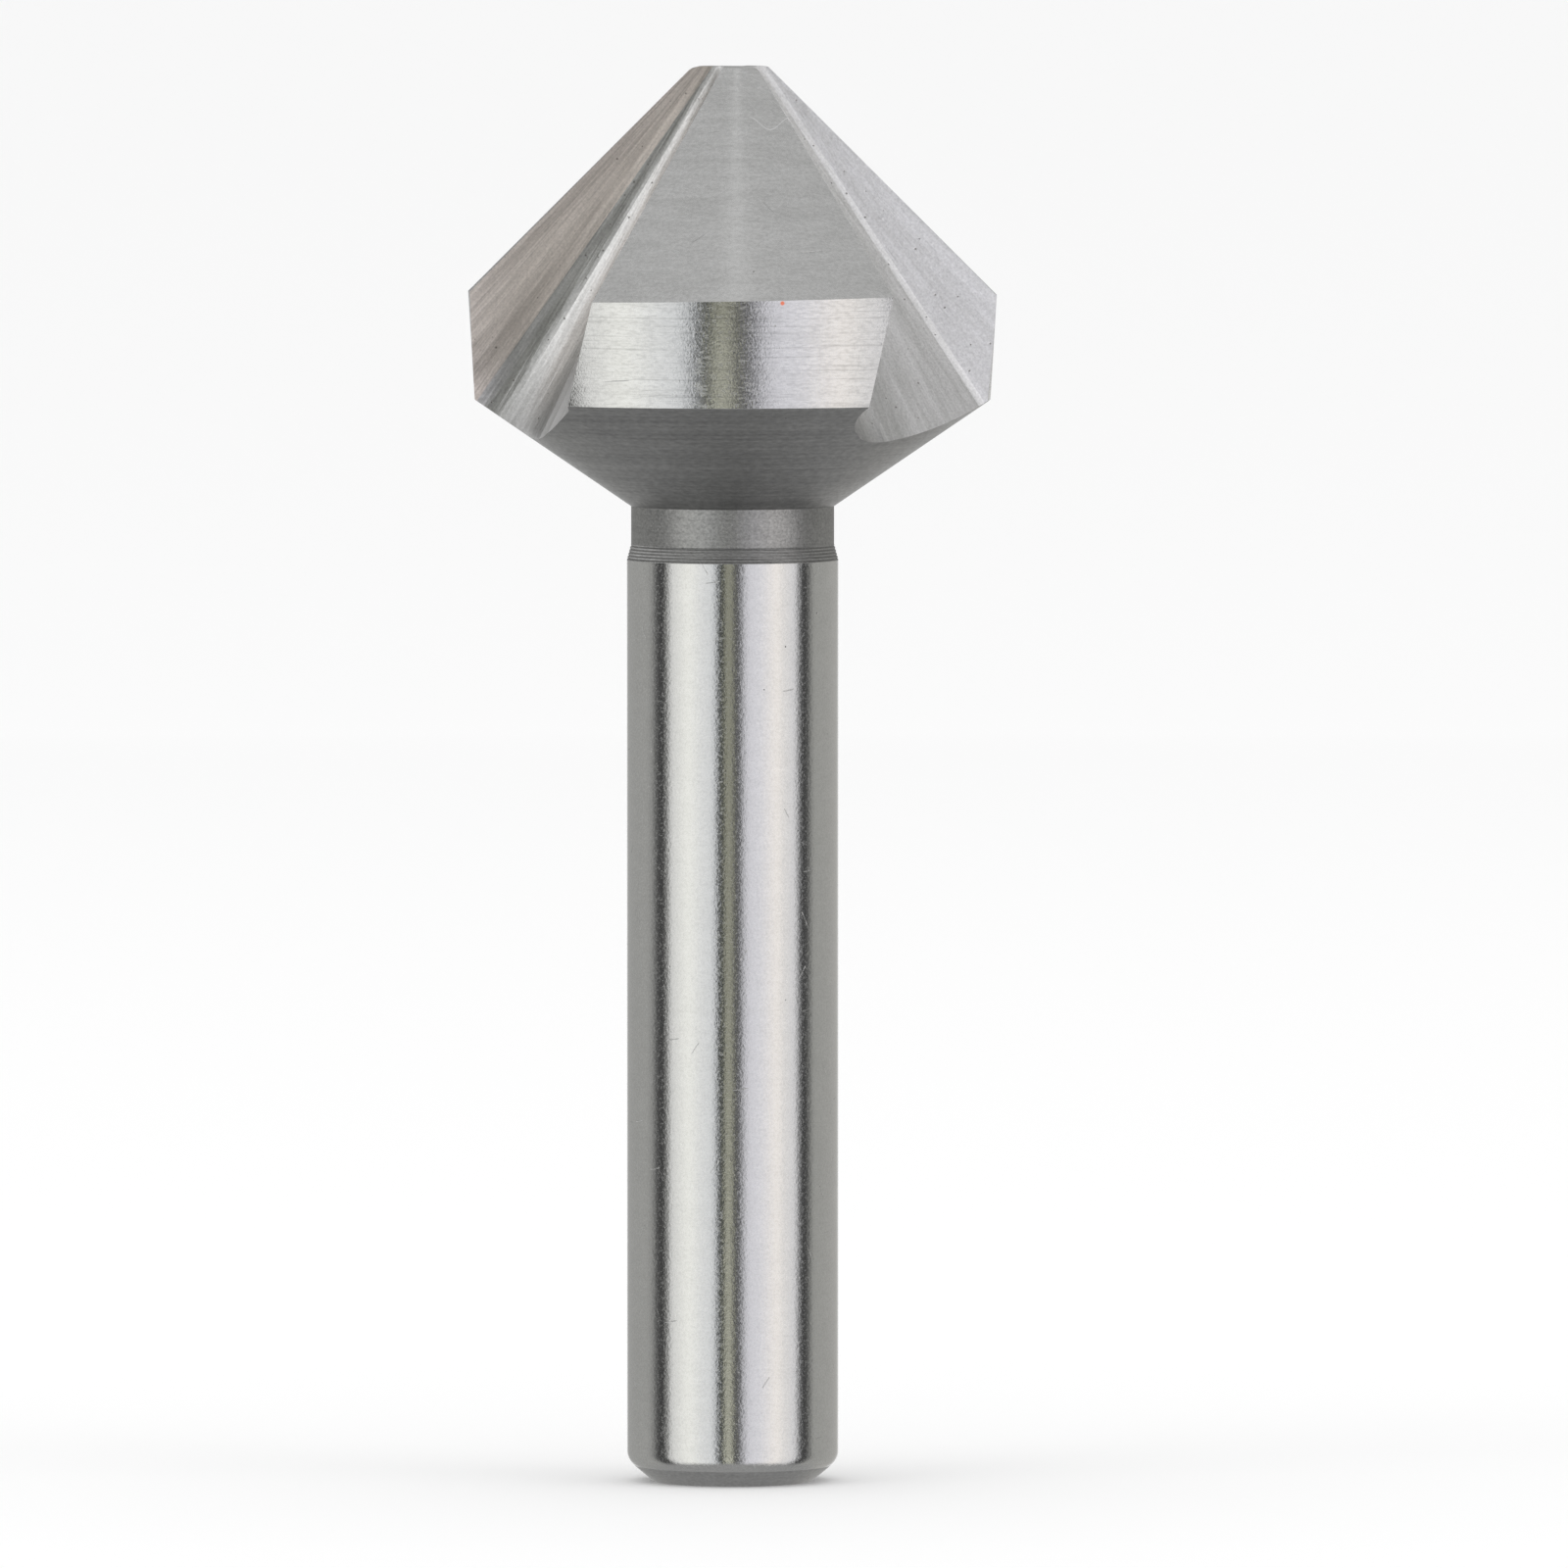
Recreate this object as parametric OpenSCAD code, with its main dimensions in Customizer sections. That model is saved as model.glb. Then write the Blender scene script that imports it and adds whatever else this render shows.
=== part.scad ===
// Three-flute countersink bit with a plain cylindrical shank, in millimetres.
// It stands on the end of its shank with its point up: Z is the tool's axis,
// the shank's end face is at Z = 0 and the front of the tool looks along -Y.

/* [Overall] */
// Length from the end of the shank to the point
overall_l = 67; // [58:0.5:90]

/* [Head] */
// Largest diameter of the cutting cone
head_d = 25; // [21:0.5:31]
// Angle between the two sides of the cutting cone, in degrees
point_angle = 90; // [82:1:100]
// Diameter of the cone at its blunt point, before its edge is eased
tip_d = 3.8; // [2.4:0.1:5]
// Width of each of the two facets that ease the edge of the point
tip_ease = 0.3; // [0.15:0.05:0.45]
// Height of the ground band behind the cone
band_h = 5.15; // [3.5:0.05:7]
// Inward slope of the band, in degrees
band_slope = 3.4; // [1:0.1:6]
// Slope of the turned back of the head, in degrees from level
back_slope = 34.3; // [25:0.1:45]

/* [Shank] */
// Diameter of the ground shank
shank_d = 10; // [8:0.5:13]
// Diameter of the turned neck under the head
neck_d = 9.6; // [7.6:0.1:10.4]
// Length of the turned neck
neck_l = 1.8; // [1:0.1:4]
// Slope of the shoulder between the neck and the shank, in degrees from level
shoulder_slope = 75; // [45:1:80]
// Width of the chamfer at the end of the shank
end_chamfer = 0.9; // [0.4:0.1:1.6]
// Slope of that chamfer, in degrees from level
end_slope = 40; // [30:1:60]
// Radius that rounds the chamfer into the shank
end_round = 0.9; // [0.4:0.1:1.6]

/* [Flutes] */
// Number of flutes, and of cutting edges
flutes = 3; // [2:1:4]
// Direction of the first cutting edge, in degrees from the front
edge_turn = 36.3; // [0:0.1:120]
// Lean of the cutting face from the radius, in degrees
rake_angle = 13; // [5:0.5:18]
// Distance from the axis to the flute's floor, at the head's largest diameter
core_r = 5.9; // [5:0.1:7]
// How far each floor passes beyond the axis at the cone's apex
past_centre = 0.42; // [0.1:0.02:0.7]
// Radius between the cutting face and the floor, at the head's largest diameter
gullet_r = 2.1; // [1.2:0.1:2.6]
// Direction of the heel facet, in degrees back from the cutting edge
heel_turn = 23.7; // [18:0.1:32]
// Lean of the heel facet from upright, in degrees
heel_lean = 16.3; // [12:0.1:20]
// Distance from the axis to the heel facet, at the head's largest diameter
heel_r = 2.9; // [2.5:0.1:3.6]

/* [Lands] */
// Drop of each land from its cutting edge to its heel
land_relief = 0.23; // [0.1:0.01:0.4]

/* [Hidden] */
$fn = 180;

// Room by which cutting shapes pass the surfaces that they cut
spare = 0.5;
// Straight pieces along the curve between the cutting face and the floor
gullet_steps = 20;
// Straight pieces along the rounding at the end of the shank
round_steps = 4;

head_r = head_d / 2;
tip_r = tip_d / 2;
shank_r = shank_d / 2;
neck_r = neck_d / 2;

// The cone's apex lies above the blunt point
cone_run = 1 / tan(point_angle / 2);
rim_z = overall_l - (head_r - tip_r) * cone_run;
apex_z = rim_z + head_r * cone_run;

// Heights of the edges below the cone, from the band down to the shank
band_z = rim_z - band_h;
band_r = head_r - band_h * tan(band_slope);
neck_top = band_z - (band_r - neck_r) * tan(back_slope);
neck_bottom = neck_top - neck_l;
shank_top = neck_bottom - (shank_r - neck_r) * tan(shoulder_slope);

// A land runs from its cutting edge back to the heel facet of the flute behind it
flute_angle = acos(heel_r / cos(heel_lean) / head_r) - heel_turn;
land_angle = 360 / flutes - flute_angle;

// Each land's cone is set off its axis to fall away behind the cutting edge
land_middle = -land_angle / 2;
land_shift = land_relief / (2 * sin(land_angle / 2));
land_drop = land_relief / 2;

// A point in plan, at a distance from the axis and an angle from the front
function around(r, turn) = [r * sin(turn), -r * cos(turn)];

// Slopes of the two facets that ease the point, at a third and two thirds of the cone's
function ease_slope(step) = step * (90 - point_angle / 2) / 3;
function ease_point(step) = step == 0
    ? [tip_r - tip_ease, overall_l]
    : ease_point(step - 1) + tip_ease * [1, -tan(ease_slope(step))];

// Points along the rounding at the end of the shank, from its chamfer upwards
function end_point(step) = let (lean = (90 - end_slope) * (1 - step / round_steps)) [
    shank_r - end_round * (1 - cos(lean)),
    end_chamfer * tan(end_slope) + end_round * (cos(end_slope) - sin(lean))
];

// Outline of the turned blank, with stock left on the cone for the lands
module blank_outline() {
    polygon(concat([
        [0, 0],
        [end_point(0)[0] - end_chamfer, 0]
    ], [for (step = [0 : round_steps]) end_point(step)], [
        [shank_r, shank_top],
        [neck_r, neck_bottom],
        [neck_r, neck_top],
        [band_r, band_z],
        [head_r + spare * tan(band_slope), rim_z + spare],
        ease_point(2) + [spare, 0],
        ease_point(2),
        ease_point(1),
        ease_point(0),
        [0, overall_l]
    ]));
}

module blank() {
    rotate_extrude() blank_outline();
}

// Stock to grind off one land, which leaves its off-centre cone
module land_stock() {
    half_sector = 180 / flutes + 0.5;
    shift = around(land_shift, land_middle + 90);
    reach = 3 * head_r;
    bottom_z = rim_z - 2 * spare;
    difference() {
        translate([0, 0, bottom_z])
            linear_extrude(overall_l - bottom_z + spare)
                polygon([
                    [0, 0],
                    around(reach, land_middle - half_sector),
                    around(reach, land_middle),
                    around(reach, land_middle + half_sector)
                ]);
        translate([shift[0], shift[1], bottom_z])
            cylinder(
                h = apex_z - land_drop - bottom_z,
                r1 = (apex_z - land_drop - bottom_z) / cone_run,
                r2 = 0
            );
    }
}

// Section of a flute at the head's largest diameter, with its cutting edge in
// front: the cutting face, the round gullet and the floor, which runs level
function corner_y() = -core_r - past_centre;
function corner_x() = -(head_r + corner_y()) * tan(rake_angle);
function gullet_centre() = [
    corner_x() + gullet_r / tan(45 - rake_angle / 2),
    corner_y() - gullet_r
];

module flute_section() {
    reach = 4 * head_r;
    polygon(concat(
        [[corner_x() + reach * tan(rake_angle), corner_y() - reach]],
        [for (step = [0 : gullet_steps])
            gullet_centre() + gullet_r * [
                -cos(rake_angle + step * (90 - rake_angle) / gullet_steps),
                sin(rake_angle + step * (90 - rake_angle) / gullet_steps)
                ]],
        [[reach, corner_y()], [reach, corner_y() - reach]]
    ));
}

// The flute narrows evenly towards the cone's apex, and passes the axis there
module flute_wedge() {
    bottom_z = neck_top;
    top_z = overall_l + spare;
    grow = (apex_z - bottom_z) / (apex_z - rim_z);
    translate([-past_centre * tan(rake_angle), past_centre, bottom_z])
        linear_extrude(top_z - bottom_z, scale = (apex_z - top_z) / (apex_z - bottom_z))
            scale([grow, grow])
                flute_section();
}

// Space in front of the plane that the heel facet lies in
module heel_space() {
    reach = 2 * overall_l;
    translate([0, 0, rim_z])
        rotate([0, 0, -heel_turn])
            rotate([-heel_lean, 0, 0])
                translate([-reach / 2, -reach - heel_r, -reach / 2])
                    cube(reach);
}

module flute() {
    intersection() {
        flute_wedge();
        heel_space();
    }
}

module countersink_bit() {
    color("silver")
    difference() {
        blank();
        for (copy = [0 : flutes - 1])
            rotate([0, 0, edge_turn + copy * 360 / flutes]) {
                land_stock();
                flute();
            }
    }
}

countersink_bit();
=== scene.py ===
import math

import bmesh
import bpy
from mathutils import Matrix, Vector


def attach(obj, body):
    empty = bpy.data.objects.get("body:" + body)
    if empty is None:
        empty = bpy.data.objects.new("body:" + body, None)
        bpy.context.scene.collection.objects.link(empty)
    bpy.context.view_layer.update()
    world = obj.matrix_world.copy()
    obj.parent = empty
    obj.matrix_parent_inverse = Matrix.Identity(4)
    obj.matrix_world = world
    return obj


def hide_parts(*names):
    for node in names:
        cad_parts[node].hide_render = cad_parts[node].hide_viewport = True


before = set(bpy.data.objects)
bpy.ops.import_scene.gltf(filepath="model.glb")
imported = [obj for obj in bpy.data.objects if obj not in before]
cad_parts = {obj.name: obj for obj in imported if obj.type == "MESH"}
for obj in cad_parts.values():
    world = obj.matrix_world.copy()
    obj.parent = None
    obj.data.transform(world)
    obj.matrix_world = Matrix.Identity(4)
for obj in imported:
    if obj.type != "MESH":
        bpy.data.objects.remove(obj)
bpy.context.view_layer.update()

print("stage 1: frame loaded")


# Plain helpers

def calmDown():
    if bpy.context.object and bpy.context.object.mode != "OBJECT":
        bpy.ops.object.mode_set(mode="OBJECT")
    bpy.ops.object.select_all(action="DESELECT")


def pick(thing):
    calmDown()
    thing.select_set(True)
    bpy.context.view_layer.objects.active = thing


def around(radius, turn):
    # a point in plan, its turn counted in degrees from the front towards the right
    angle = math.radians(turn)
    return Vector((radius * math.sin(angle), -radius * math.cos(angle), 0))


def slope(angle):
    return math.tan(math.radians(angle))


def drawOutline(name, points, height):
    # one vertex is extruded from point to point, and the last edge and the face close it
    calmDown()
    bpy.ops.mesh.primitive_plane_add(size=1, location=(0, 0, 0))
    drawn = bpy.context.active_object
    drawn.name = name
    bpy.ops.object.mode_set(mode="EDIT")
    bpy.ops.mesh.select_all(action="SELECT")
    bpy.ops.mesh.merge(type="CENTER")
    first = Vector((points[0][0], points[0][1], height))
    bpy.ops.transform.translate(value=first)
    place = first
    for point in points[1:]:
        target = Vector((point[0], point[1], height))
        bpy.ops.mesh.extrude_vertices_move(TRANSFORM_OT_translate={"value": target - place})
        place = target
    bpy.ops.mesh.select_all(action="SELECT")
    bpy.ops.mesh.edge_face_add()
    return drawn


def cutAway(body, cutter):
    pick(body)
    cut = body.modifiers.new("cut", "BOOLEAN")
    cut.operation = "DIFFERENCE"
    cut.solver = "EXACT"
    cut.material_mode = "TRANSFER"
    cut.object = cutter
    bpy.ops.object.modifier_apply(modifier=cut.name)


def throwAway(thing):
    mesh = thing.data
    bpy.data.objects.remove(thing)
    bpy.data.meshes.remove(mesh)


# The bit, modelled in millimetres as the CAD has it, and brought to metres at the end

bit = {
    "segments": 240,          # facets round the lathe work
    "length": 67.0,
    "headRadius": 12.5,
    "pointAngle": 90.0,
    "tipRadius": 1.9,
    "tipEase": 0.3,
    "bandHeight": 5.15,
    "bandSlope": 3.4,
    "backSlope": 34.3,
    "shankRadius": 5.0,
    "neckRadius": 4.8,
    "neckLength": 1.8,
    "shoulderSlope": 75.0,
    "endChamfer": 0.9,
    "endSlope": 40.0,
    "endRound": 0.9,
    "roundSteps": 8,          # facets along that rounding
    "flutes": 3,
    "edgeTurn": 36.3,
    "rakeAngle": 12.76,
    "edgeShift": 0.198,       # how far each cutting edge lies past its radius
    "coreRadius": 5.9,
    "pastCentre": 0.42,
    "gulletRadius": 2.1,
    "gulletSteps": 44,
    "litSideFrom": 0.42,        # where the gullet's side painted lighter begins, by its normal
    "heelTurn": 23.7,
    "heelLean": 16.3,
    "heelRadius": 2.9,
    "landRelief": 0.23,
    "grooves": 5,             # lathe grooves on the shoulder
    "grooveStart": 0.25,      # where each groove starts in its pitch
    "grooveRun": (0.15, 0.4, 0.5),    # from there to its floor, along it and out again
    "grooveDepth": 0.04,
    "grooveLip": 0.01,
    "edgeRound": 0.05,        # how far the edge under the band is rubbed down
    "rubbed": ((0.3, -0.05), (0.08, 0.3)),    # the rubbed edge's points, as shares of that
    "valleyBevel": 0.25,      # rounding where each flute's floor meets its heel, which takes a painted highlight
    "sharpAngle": 13.5,       # edges above this stay sharp
    "overlap": 0.5,           # degrees by which one land's stock passes the next
    "spare": 0.5,             # room by which cutters pass what they cut
    "landReach": 3,           # how far out the cutters go, in head radii
    "fluteReach": 4,
    "mergeGap": 0.004,        # points closer than this after the cuts are one
    "tinyEdge": 0.002,        # edges shorter than this after the cuts go
    "samePlace": 0.001,       # points closer than this after the rounding are one
}
millimetre = 0.001            # in metres
near = 1e-4                   # heights this close are the same
alike = 0.9995                # normals this close point the same way

# the cone's apex lies above the blunt point
coneRun = 1 / slope(bit["pointAngle"] / 2)
rimHeight = bit["length"] - (bit["headRadius"] - bit["tipRadius"]) * coneRun
apexHeight = rimHeight + bit["headRadius"] * coneRun


def endSteps():
    # a turned chamfer, then a rounding that is ground with the shank
    steps = []
    for step in range(bit["roundSteps"] + 1):
        lean = math.radians((90 - bit["endSlope"]) * (1 - step / bit["roundSteps"]))
        radius = bit["shankRadius"] - bit["endRound"] * (1 - math.cos(lean))
        rise = bit["endRound"] * (math.cos(math.radians(bit["endSlope"])) - math.sin(lean))
        height = bit["endChamfer"] * slope(bit["endSlope"]) + rise
        steps.append((radius, height, "end" if step == 0 else "shank"))
    return steps


def shoulderSteps(shankTop, shoulderDrop):
    # lathe grooves up the shoulder, from the shank to the neck
    steps = []
    depth = bit["grooveDepth"]
    toFloor, alongFloor, toLip = bit["grooveRun"]
    pitch = shoulderDrop / bit["grooves"]
    for groove in range(bit["grooves"]):
        share = (groove + bit["grooveStart"]) / bit["grooves"]
        foot = shankTop + share * shoulderDrop
        radius = bit["shankRadius"] - share * (bit["shankRadius"] - bit["neckRadius"])
        steps.append((radius, foot, "turned"))
        # the grooves' faces take the groove steel, painted darker as painted shade
        steps.append((radius - depth, foot + toFloor * pitch, "groove"))
        steps.append((radius - depth, foot + alongFloor * pitch, "groove"))
        steps.append((radius - bit["grooveLip"], foot + toLip * pitch, "groove"))
    return steps


def bandSteps(bandRadius, bandHeight):
    # the rubbed edge under the band, and the band itself, with stock left above the rim
    rub = bit["edgeRound"]
    backRun = math.cos(math.radians(bit["backSlope"])) * rub
    backRise = math.sin(math.radians(bit["backSlope"])) * rub
    steps = [(bandRadius - backRun, bandHeight - backRise, "back")]
    for (run, rise), zone in zip(bit["rubbed"], ("back", "band")):
        steps.append((bandRadius - run * rub, bandHeight + rise * rub, zone))
    steps.append((bandRadius + slope(bit["bandSlope"]) * rub, bandHeight + rub, "band"))
    wide = bit["headRadius"] + bit["spare"] * slope(bit["bandSlope"])
    steps.append((wide, rimHeight + bit["spare"], "band"))
    return steps


def pointSteps():
    # two facets ease the edge of the blunt point
    ease = bit["tipEase"]
    coneLean = 90 - bit["pointAngle"] / 2
    middle = (bit["tipRadius"], bit["length"] - ease * slope(coneLean / 3))
    outer = (middle[0] + ease, middle[1] - ease * slope(2 * coneLean / 3))
    return [
        (outer[0] + bit["spare"], outer[1], "point"),
        (outer[0], outer[1], "point"),
        (middle[0], middle[1], "point"),
        (bit["tipRadius"] - ease, bit["length"], "point"),
    ]


def turnBlank(zones):
    bandHeight = rimHeight - bit["bandHeight"]
    bandRadius = bit["headRadius"] - bit["bandHeight"] * slope(bit["bandSlope"])
    neckTop = bandHeight - (bandRadius - bit["neckRadius"]) * slope(bit["backSlope"])
    neckBottom = neckTop - bit["neckLength"]
    shoulderDrop = (bit["shankRadius"] - bit["neckRadius"]) * slope(bit["shoulderSlope"])
    shankTop = neckBottom - shoulderDrop

    # the outline from the shank's end to the point: radius, height and finish of each step
    steps = endSteps()
    radius = steps[0][0] - bit["endChamfer"]
    steps.append((bit["shankRadius"], shankTop, "shank"))
    steps += shoulderSteps(shankTop, shoulderDrop)
    steps.append((bit["neckRadius"], neckBottom, "turned"))
    steps.append((bit["neckRadius"], neckTop, "turned"))
    steps += bandSteps(bandRadius, bandHeight)
    steps += pointSteps()

    calmDown()
    bpy.ops.mesh.primitive_circle_add(vertices=bit["segments"], radius=radius, fill_type="NGON",
                                      location=(0, 0, 0))
    blank = bpy.context.active_object
    blank.name = "countersinkBit"
    bpy.ops.object.mode_set(mode="EDIT")
    bpy.ops.mesh.select_all(action="SELECT")
    height = 0.0
    for newRadius, newHeight, zone in steps:
        bpy.ops.mesh.extrude_region_move(
            TRANSFORM_OT_translate={"value": (0, 0, newHeight - height)})
        share = newRadius / radius
        bpy.ops.transform.resize(value=(share, share, 1), center_override=(0, 0, newHeight))
        radius = newRadius
        height = newHeight
    bpy.ops.mesh.select_all(action="SELECT")
    bpy.ops.mesh.normals_make_consistent(inside=False)
    bpy.ops.object.mode_set(mode="OBJECT")

    # each ring of faces takes the finish of the step that made it
    for steel in zones.values():
        blank.data.materials.append(steel)
    order = list(zones)
    for face in blank.data.polygons:
        height = face.center.z
        below = 0.0
        zone = "end"
        for stepRadius, stepHeight, stepZone in steps:
            if below - near <= height <= stepHeight + near:
                zone = stepZone
                break
            below = stepHeight
        face.material_index = order.index(zone)
    return blank, neckTop


def makeLandCutter(zones):
    # a sector of stock with the land's off-centre cone taken out of it
    heelReach = bit["heelRadius"] / math.cos(math.radians(bit["heelLean"]))
    fluteAngle = math.degrees(math.acos(heelReach / bit["headRadius"])) - bit["heelTurn"]
    landAngle = 360 / bit["flutes"] - fluteAngle
    landMiddle = -landAngle / 2
    offCentre = bit["landRelief"] / (2 * math.sin(math.radians(landAngle / 2)))
    shift = around(offCentre, landMiddle + 90)
    halfSector = 180 / bit["flutes"] + bit["overlap"]
    reach = bit["landReach"] * bit["headRadius"]
    bottom = rimHeight - 2 * bit["spare"]
    corners = [Vector((0, 0, 0))]
    for turn in (landMiddle - halfSector, landMiddle, landMiddle + halfSector):
        corners.append(around(reach, turn))
    cutter = drawOutline("landCutter", corners, bottom)
    bpy.ops.mesh.extrude_region_move(
        TRANSFORM_OT_translate={"value": (0, 0, bit["length"] + bit["spare"] - bottom)})
    bpy.ops.mesh.select_all(action="SELECT")
    bpy.ops.mesh.normals_make_consistent(inside=False)
    bpy.ops.object.mode_set(mode="OBJECT")
    cutter.data.materials.append(zones["land"])

    coneTop = apexHeight - bit["landRelief"] / 2
    coneFoot = bottom - 2 * bit["spare"]
    calmDown()
    bpy.ops.mesh.primitive_cone_add(vertices=bit["segments"], radius2=0,
                                    radius1=(coneTop - coneFoot) / coneRun,
                                    depth=coneTop - coneFoot,
                                    location=(shift.x, shift.y, (coneTop + coneFoot) / 2))
    cone = bpy.context.active_object
    cone.data.materials.append(zones["land"])
    cutAway(cutter, cone)
    throwAway(cone)
    return cutter


def makeFluteCutter(zones, bottom):
    # the flute's section at the rim, made larger for the neck and narrowed towards the apex
    rake = math.radians(bit["rakeAngle"])
    cornerY = -bit["coreRadius"] - bit["pastCentre"]
    cornerX = bit["edgeShift"] - (bit["headRadius"] + cornerY) * math.tan(rake)
    radius = bit["gulletRadius"]
    centre = Vector((cornerX + radius / math.tan(math.radians(45) - rake / 2), cornerY - radius, 0))
    reach = bit["fluteReach"] * bit["headRadius"]
    points = [Vector((cornerX + reach * math.tan(rake), cornerY - reach, 0))]
    for step in range(bit["gulletSteps"] + 1):
        # the gullet starts and ends in line with the cutting face and the floor
        angle = -rake + step * (math.pi / 2 + rake) / bit["gulletSteps"]
        points.append(centre + radius * Vector((-math.cos(angle), math.sin(angle), 0)))
    points.append(Vector((reach, cornerY, 0)))
    points.append(Vector((reach, cornerY - reach, 0)))
    top = bit["length"] + bit["spare"]
    grow = (apexHeight - bottom) / (apexHeight - rimHeight)
    middle = Vector((-bit["pastCentre"] * math.tan(rake), bit["pastCentre"], 0))
    cutter = drawOutline("fluteCutter", [middle + point * grow for point in points], bottom)
    shrink = (apexHeight - top) / (apexHeight - bottom)
    bpy.ops.mesh.extrude_region_move(TRANSFORM_OT_translate={"value": (0, 0, top - bottom)})
    bpy.ops.transform.resize(value=(shrink, shrink, 1), center_override=(middle.x, middle.y, top))
    bpy.ops.mesh.select_all(action="SELECT")
    bpy.ops.mesh.normals_make_consistent(inside=False)

    # the heel facet's plane cuts the wedge off
    turned = Matrix.Rotation(math.radians(-bit["heelTurn"]), 3, "Z")
    turned = turned @ Matrix.Rotation(math.radians(-bit["heelLean"]), 3, "X")
    normal = turned @ Vector((0, 1, 0))
    place = Vector((0, 0, rimHeight)) - normal * bit["heelRadius"]
    bpy.ops.mesh.bisect(plane_co=place, plane_no=normal, use_fill=True, clear_outer=True,
                        threshold=near)
    bpy.ops.mesh.select_all(action="SELECT")
    bpy.ops.mesh.normals_make_consistent(inside=False)
    bpy.ops.object.mode_set(mode="OBJECT")

    order = ("rake", "gullet", "floor", "heel", "gulletLitSide")
    for zone in order:
        cutter.data.materials.append(zones[zone])
    rakeNormal = Vector((-math.cos(rake), -math.sin(rake), 0))
    for face in cutter.data.polygons:
        flat = Vector((face.normal.x, face.normal.y, 0))
        if abs(face.normal.z) < alike:
            flat.normalize()
        if abs(face.normal.dot(normal)) > alike:
            zone = "heel"
        elif flat.dot(rakeNormal) > alike:
            zone = "rake"
        elif flat.y > alike:
            zone = "floor"
        else:
            # the gullet's side next to the floor takes a lighter copy of its steel, a painted
            # highlight
            zone = "gulletLitSide" if flat.y > bit["litSideFrom"] else "gullet"
        face.material_index = order.index(zone)
    return cutter


def softenValleys(blank, zones):
    # the line along which each flute's floor meets its heel facet
    steels = list(blank.data.materials)
    floor, heel, edge = [steels.index(zones[zone]) for zone in ("floor", "heel", "edge")]
    bpy.ops.mesh.select_mode(type="EDGE")
    bpy.ops.mesh.select_all(action="DESELECT")
    work = bmesh.from_edit_mesh(blank.data)
    for line in work.edges:
        line.select = {face.material_index for face in line.link_faces} == {floor, heel}
    bmesh.update_edit_mesh(blank.data)
    # the rounding takes the edge steel, painted light as a painted highlight
    bpy.ops.mesh.bevel(offset=bit["valleyBevel"], segments=2, affect="EDGES", clamp_overlap=False,
                       material=edge)


def makeBit(zones):
    blank, neckTop = turnBlank(zones)
    print("stage 3: blank turned,", len(blank.data.polygons), "faces")
    landCutter = makeLandCutter(zones)
    fluteCutter = makeFluteCutter(zones, neckTop)
    for copy in range(bit["flutes"]):
        turn = math.radians(bit["edgeTurn"] + copy * 360 / bit["flutes"])
        for cutter in (landCutter, fluteCutter):
            cutter.rotation_euler = (0, 0, turn)
            cutAway(blank, cutter)
    throwAway(landCutter)
    throwAway(fluteCutter)
    print("stage 4: lands and flutes cut,", len(blank.data.polygons), "faces")

    pick(blank)
    bpy.ops.object.mode_set(mode="EDIT")
    bpy.ops.mesh.select_all(action="SELECT")
    bpy.ops.mesh.remove_doubles(threshold=bit["mergeGap"])
    bpy.ops.mesh.dissolve_degenerate(threshold=bit["tinyEdge"])
    bpy.ops.mesh.normals_make_consistent(inside=False)
    softenValleys(blank, zones)
    # the rounding leaves a few points in the same place
    bpy.ops.mesh.select_all(action="SELECT")
    bpy.ops.mesh.remove_doubles(threshold=bit["samePlace"])
    bpy.ops.object.mode_set(mode="OBJECT")
    return blank


# Finishes, all of them bare tool steel, each ground, turned or milled in its own way, and some with
# painted highlights and painted shade

plain = {                         # what a finish doesn't say
    "grain": 5.0,                 # specks per millimetre
    "grainDepth": 0.006,
    "dashes": 0.0,                # share of thin darker lines
    "speckle": 0.1,               # how light and dark the dots are
    "dotLength": 1.0,             # how many times longer than high the dots are
    "roughDots": 0.0,             # how much rougher some dots are
    "scratches": 0.0,             # how dark the scratches are
    "paintedRootShade": 1.0,             # painted shade: how dark it grows towards the neck
    "rootTop": 63.0,              # height from which that painted shade begins
    "grazingShade": 1.0,              # painted shade on the reflection seen along the surface: 1 leaves it all, less darkens it
}

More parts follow.
